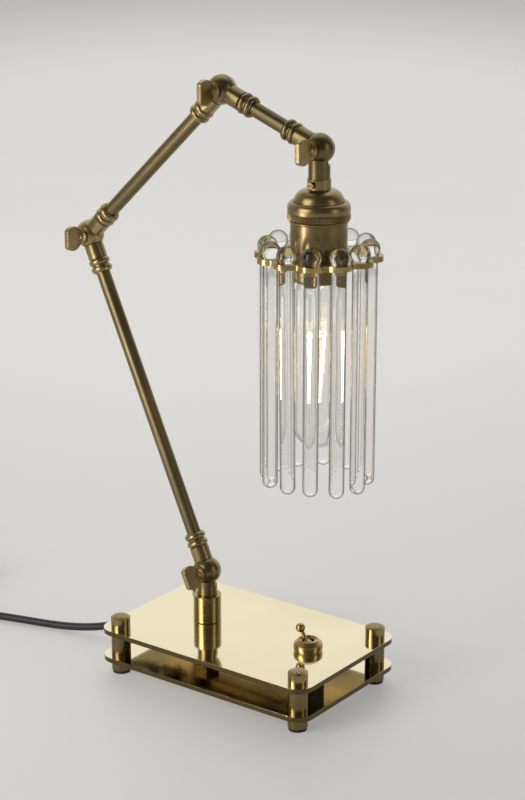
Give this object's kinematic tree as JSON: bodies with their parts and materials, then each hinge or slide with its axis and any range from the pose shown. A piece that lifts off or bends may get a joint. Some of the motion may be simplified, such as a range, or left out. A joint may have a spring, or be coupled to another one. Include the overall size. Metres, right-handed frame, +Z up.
{
  "type": "table lamp",
  "caption": "Articulated brass table lamp: two-plate base on posts, arms on clamped ball knuckles, and a lampholder whose scalloped crown carries a shade of hanging glass rods.",
  "frame": {"origin": "on the table under the middle of the base plates", "axes": "+Z up, +X along the base from the column towards the head, +Y towards the back, away from the wing screws"},
  "size_m": [0.4062, 0.128, 0.3712],
  "materials": {
    "satin_brass": "satin, lightly aged",
    "polished_brass": "polished",
    "steel": "plain",
    "pad_rubber": "matte",
    "black_plastic": "satin",
    "cord_jacket": "satin",
    "socket_insulator": "glazed",
    "rod_glass": "clear, fire-polished ends",
    "bulb_glass": "clear",
    "filament": "glowing"
  },
  "bodies": {
    "base": {"foot_pads": "pad_rubber", "feet": "polished_brass", "lower_plate": "polished_brass", "spacers": "polished_brass", "upper_plate": "polished_brass", "cap_nuts": "polished_brass", "tie_studs": "steel", "column": "polished_brass", "column_nipple": "satin_brass", "column_nut": "satin_brass", "switch_body": "black_plastic", "switch_bushing": "satin_brass", "switch_dress_nut": "polished_brass", "cord_clamp": "satin_brass", "clamp_screws": "steel", "feed_wire": "cord_jacket", "arm_wire": "cord_jacket", "cord_lead": "cord_jacket", "cord_coil": "cord_jacket", "cord_tail": "cord_jacket", "cord_tie": "cord_jacket", "plug_body": "black_plastic", "plug_blades": "steel", "knuckle_a_front": "satin_brass"},
    "lever": {"switch_lever": "satin_brass"},
    "lower_arm": {"knuckle_a_back": "satin_brass", "ferrule_lower_a": "satin_brass", "tube_lower": "satin_brass", "ferrule_lower_b": "satin_brass", "knuckle_b_back": "satin_brass"},
    "upper_arm": {"knuckle_b_front": "satin_brass", "ferrule_upper_b": "satin_brass", "tube_upper": "satin_brass", "ferrule_upper_c": "satin_brass", "knuckle_c_back": "satin_brass"},
    "short_arm": {"knuckle_c_front": "satin_brass", "ferrule_short_c": "satin_brass", "tube_short": "satin_brass", "ferrule_short_d": "satin_brass", "knuckle_d_back": "satin_brass"},
    "head": {"knuckle_d_front": "satin_brass", "socket_nipple": "satin_brass", "socket_cap": "satin_brass", "set_screw": "satin_brass", "socket_shell": "satin_brass", "socket_core": "socket_insulator", "screw_shell": "satin_brass", "centre_contact": "satin_brass", "crown_plate": "satin_brass", "crown_ring": "satin_brass", "glass_rods": "rod_glass", "bulb_cap": "satin_brass", "bulb_glass": "bulb_glass", "bulb_stem": "bulb_glass", "filament": "filament"},
    "wing_a": {"wing_screw_a": "satin_brass"},
    "wing_b": {"wing_screw_b": "satin_brass"},
    "wing_c": {"wing_screw_c": "satin_brass"},
    "wing_d": {"wing_screw_d": "satin_brass"}
  },
  "joints": [
    {"name": "knuckle_a", "type": "hinge", "parent": "base", "child": "lower_arm", "pos_m": [-0.031, 0, 0.063], "axis": [0, -1, 0], "range_deg": [-25, 35]},
    {"name": "knuckle_b", "type": "hinge", "parent": "lower_arm", "child": "upper_arm", "pos_m": [-0.12048, 0, 0.26398], "axis": [0, -1, 0], "range_deg": [-5, 70]},
    {"name": "knuckle_c", "type": "hinge", "parent": "upper_arm", "child": "short_arm", "pos_m": [-0.01707, 0, 0.36246], "axis": [0, -1, 0], "range_deg": [-5, 70]},
    {"name": "knuckle_d", "type": "hinge", "parent": "short_arm", "child": "head", "pos_m": [0.05136, 0, 0.33591], "axis": [0, -1, 0], "range_deg": [-8, 70]},
    {"name": "switch_flip", "type": "hinge", "parent": "base", "child": "lever", "pos_m": [0.046, 0, 0.0331], "axis": [0, 1, 0], "range_deg": [0, 60]},
    {"name": "wing_a_turn", "type": "hinge", "parent": "base", "child": "wing_a", "pos_m": [-0.031, 0, 0.063], "axis": [0, -1, 0], "continuous": true},
    {"name": "wing_b_turn", "type": "hinge", "parent": "upper_arm", "child": "wing_b", "pos_m": [-0.12048, 0, 0.26398], "axis": [0, -1, 0], "continuous": true},
    {"name": "wing_c_turn", "type": "hinge", "parent": "short_arm", "child": "wing_c", "pos_m": [-0.01707, 0, 0.36246], "axis": [0, -1, 0], "continuous": true},
    {"name": "wing_d_turn", "type": "hinge", "parent": "head", "child": "wing_d", "pos_m": [0.05136, 0, 0.33591], "axis": [0, -1, 0], "continuous": true}
  ]
}
